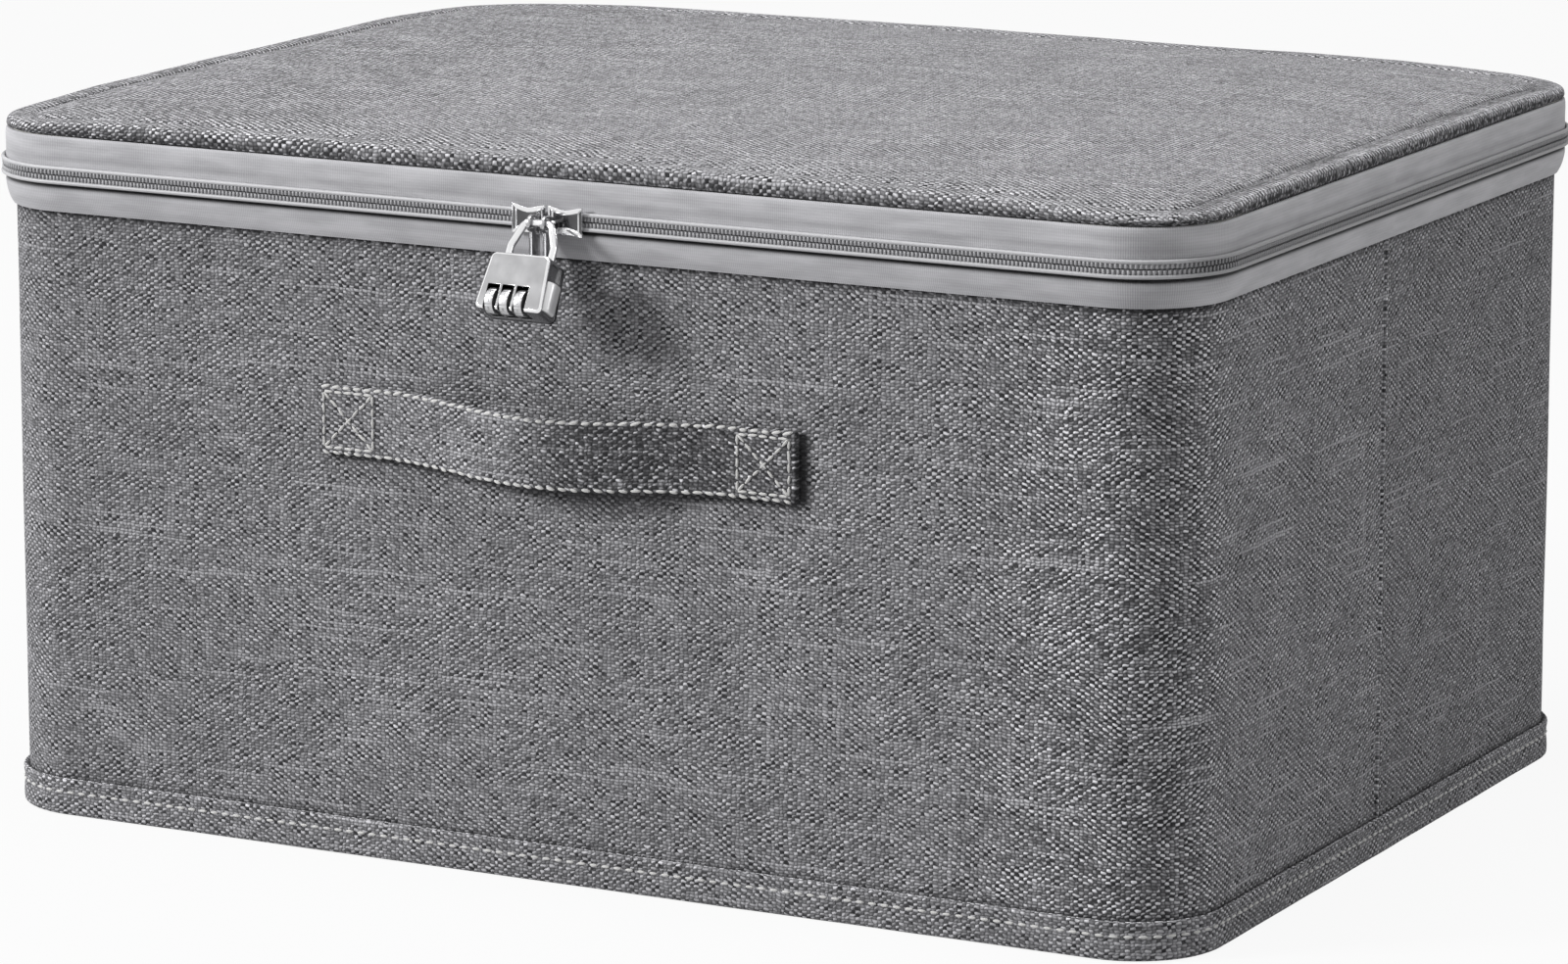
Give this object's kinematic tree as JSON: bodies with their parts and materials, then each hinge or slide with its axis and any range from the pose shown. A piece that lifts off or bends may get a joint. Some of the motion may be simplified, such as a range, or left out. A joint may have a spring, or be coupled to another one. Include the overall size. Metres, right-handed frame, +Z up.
{
  "type": "fireproof document box",
  "caption": "Rectangular cloth-covered document box with rounded corners, a padded zip lid hinged at the back, a sewn front handle and a combination padlock joining the zip sliders.",
  "frame": {"origin": "middle of the box's underside, on the surface it stands on", "axes": "+X to the right along the front, -Y out of the front, +Z up"},
  "size_m": [0.4092, 0.3339, 0.2211],
  "materials": {
    "linen": "matte",
    "lid_linen": "matte",
    "tape": "matte",
    "coil": "satin",
    "board": "matte",
    "felt": "matte",
    "lining": "satin",
    "foam": "matte",
    "chrome": "polished",
    "steel": "satin"
  },
  "bodies": {
    "box": {"base_cloth": "linen", "base_binding": "linen", "base_board": "board", "base_felt": "felt", "wall_cloth": "linen", "wall_board": "board", "wall_felt": "felt", "lining_tub": "lining", "rim_binding": "tape", "lower_tape": "tape", "lower_coil": "coil", "hinge_lower": "tape", "zip_stop_left": "steel", "zip_stop_right": "steel", "handle_patch_left": "linen", "handle_patch_right": "linen"},
    "lid": {"lid_cloth": "lid_linen", "lid_pad": "foam", "lid_board": "board", "lid_felt": "felt", "lid_lining": "lining", "upper_tape": "tape", "upper_coil": "coil", "hinge_upper": "tape"},
    "handle": {"handle_strap": "linen"},
    "left_slider": {"slider_left": "chrome"},
    "right_slider": {"slider_right": "chrome"},
    "left_pull": {"pull_left": "steel"},
    "right_pull": {"pull_right": "steel"},
    "shackle": {"shackle": "chrome"},
    "padlock": {"lock_case": "chrome", "lock_cover": "chrome", "lock_latch": "steel", "dial_spindle": "steel"},
    "dial_1": {"dial_1": "steel"},
    "dial_2": {"dial_2": "steel"},
    "dial_3": {"dial_3": "steel"},
    "button": {"release_button": "chrome"}
  },
  "joints": [
    {"name": "lid_hinge", "type": "hinge", "parent": "box", "child": "lid", "pos_m": [0, 0.155, 0.1996], "axis": [-1, 0, 0], "range_deg": [0, 180]},
    {"name": "handle_lift", "type": "hinge", "parent": "box", "child": "handle", "pos_m": [0, -0.1503, 0.1438], "axis": [-1, 0, 0], "range_deg": [0, 80]},
    {"name": "left_slide", "type": "slide", "parent": "box", "child": "left_slider", "axis": [1, 0, 0], "range_m": [-0.12, 0.12]},
    {"name": "right_slide", "type": "slide", "parent": "box", "child": "right_slider", "axis": [1, 0, 0], "range_m": [-0.12, 0.12]},
    {"name": "left_pull_swing", "type": "hinge", "parent": "left_slider", "child": "left_pull", "pos_m": [0, -0.15825, 0.1996], "axis": [-1, 0, 0], "range_deg": [0, 75]},
    {"name": "right_pull_swing", "type": "hinge", "parent": "right_slider", "child": "right_pull", "pos_m": [0, -0.15825, 0.1996], "axis": [-1, 0, 0], "range_deg": [0, 75]},
    {"name": "padlock_swing", "type": "hinge", "parent": "left_pull", "child": "shackle", "pos_m": [0, -0.1605, 0.1993], "axis": [-1, 0, 0], "range_deg": [0, 50]},
    {"name": "shackle_release", "type": "slide", "parent": "shackle", "child": "padlock", "axis": [0, -0.5, -0.866], "range_m": [0, 0.0045]},
    {"name": "dial_1_turn", "type": "hinge", "parent": "padlock", "child": "dial_1", "pos_m": [-0.00652, -0.17484, 0.17836], "axis": [1, 0, 0], "continuous": true},
    {"name": "dial_2_turn", "type": "hinge", "parent": "padlock", "child": "dial_2", "pos_m": [-0.00172, -0.17484, 0.17836], "axis": [1, 0, 0], "continuous": true},
    {"name": "dial_3_turn", "type": "hinge", "parent": "padlock", "child": "dial_3", "pos_m": [0.00308, -0.17484, 0.17836], "axis": [1, 0, 0], "continuous": true},
    {"name": "button_press", "type": "slide", "parent": "padlock", "child": "button", "axis": [-1, 0, 0], "range_m": [0, 0.0012], "stiffness_N_per_m": 300}
  ],
  "couplings": [
    {"joint": "right_slide", "follows": "left_slide", "ratio": 1},
    {"joint": "right_pull_swing", "follows": "left_pull_swing", "ratio": 1}
  ]
}
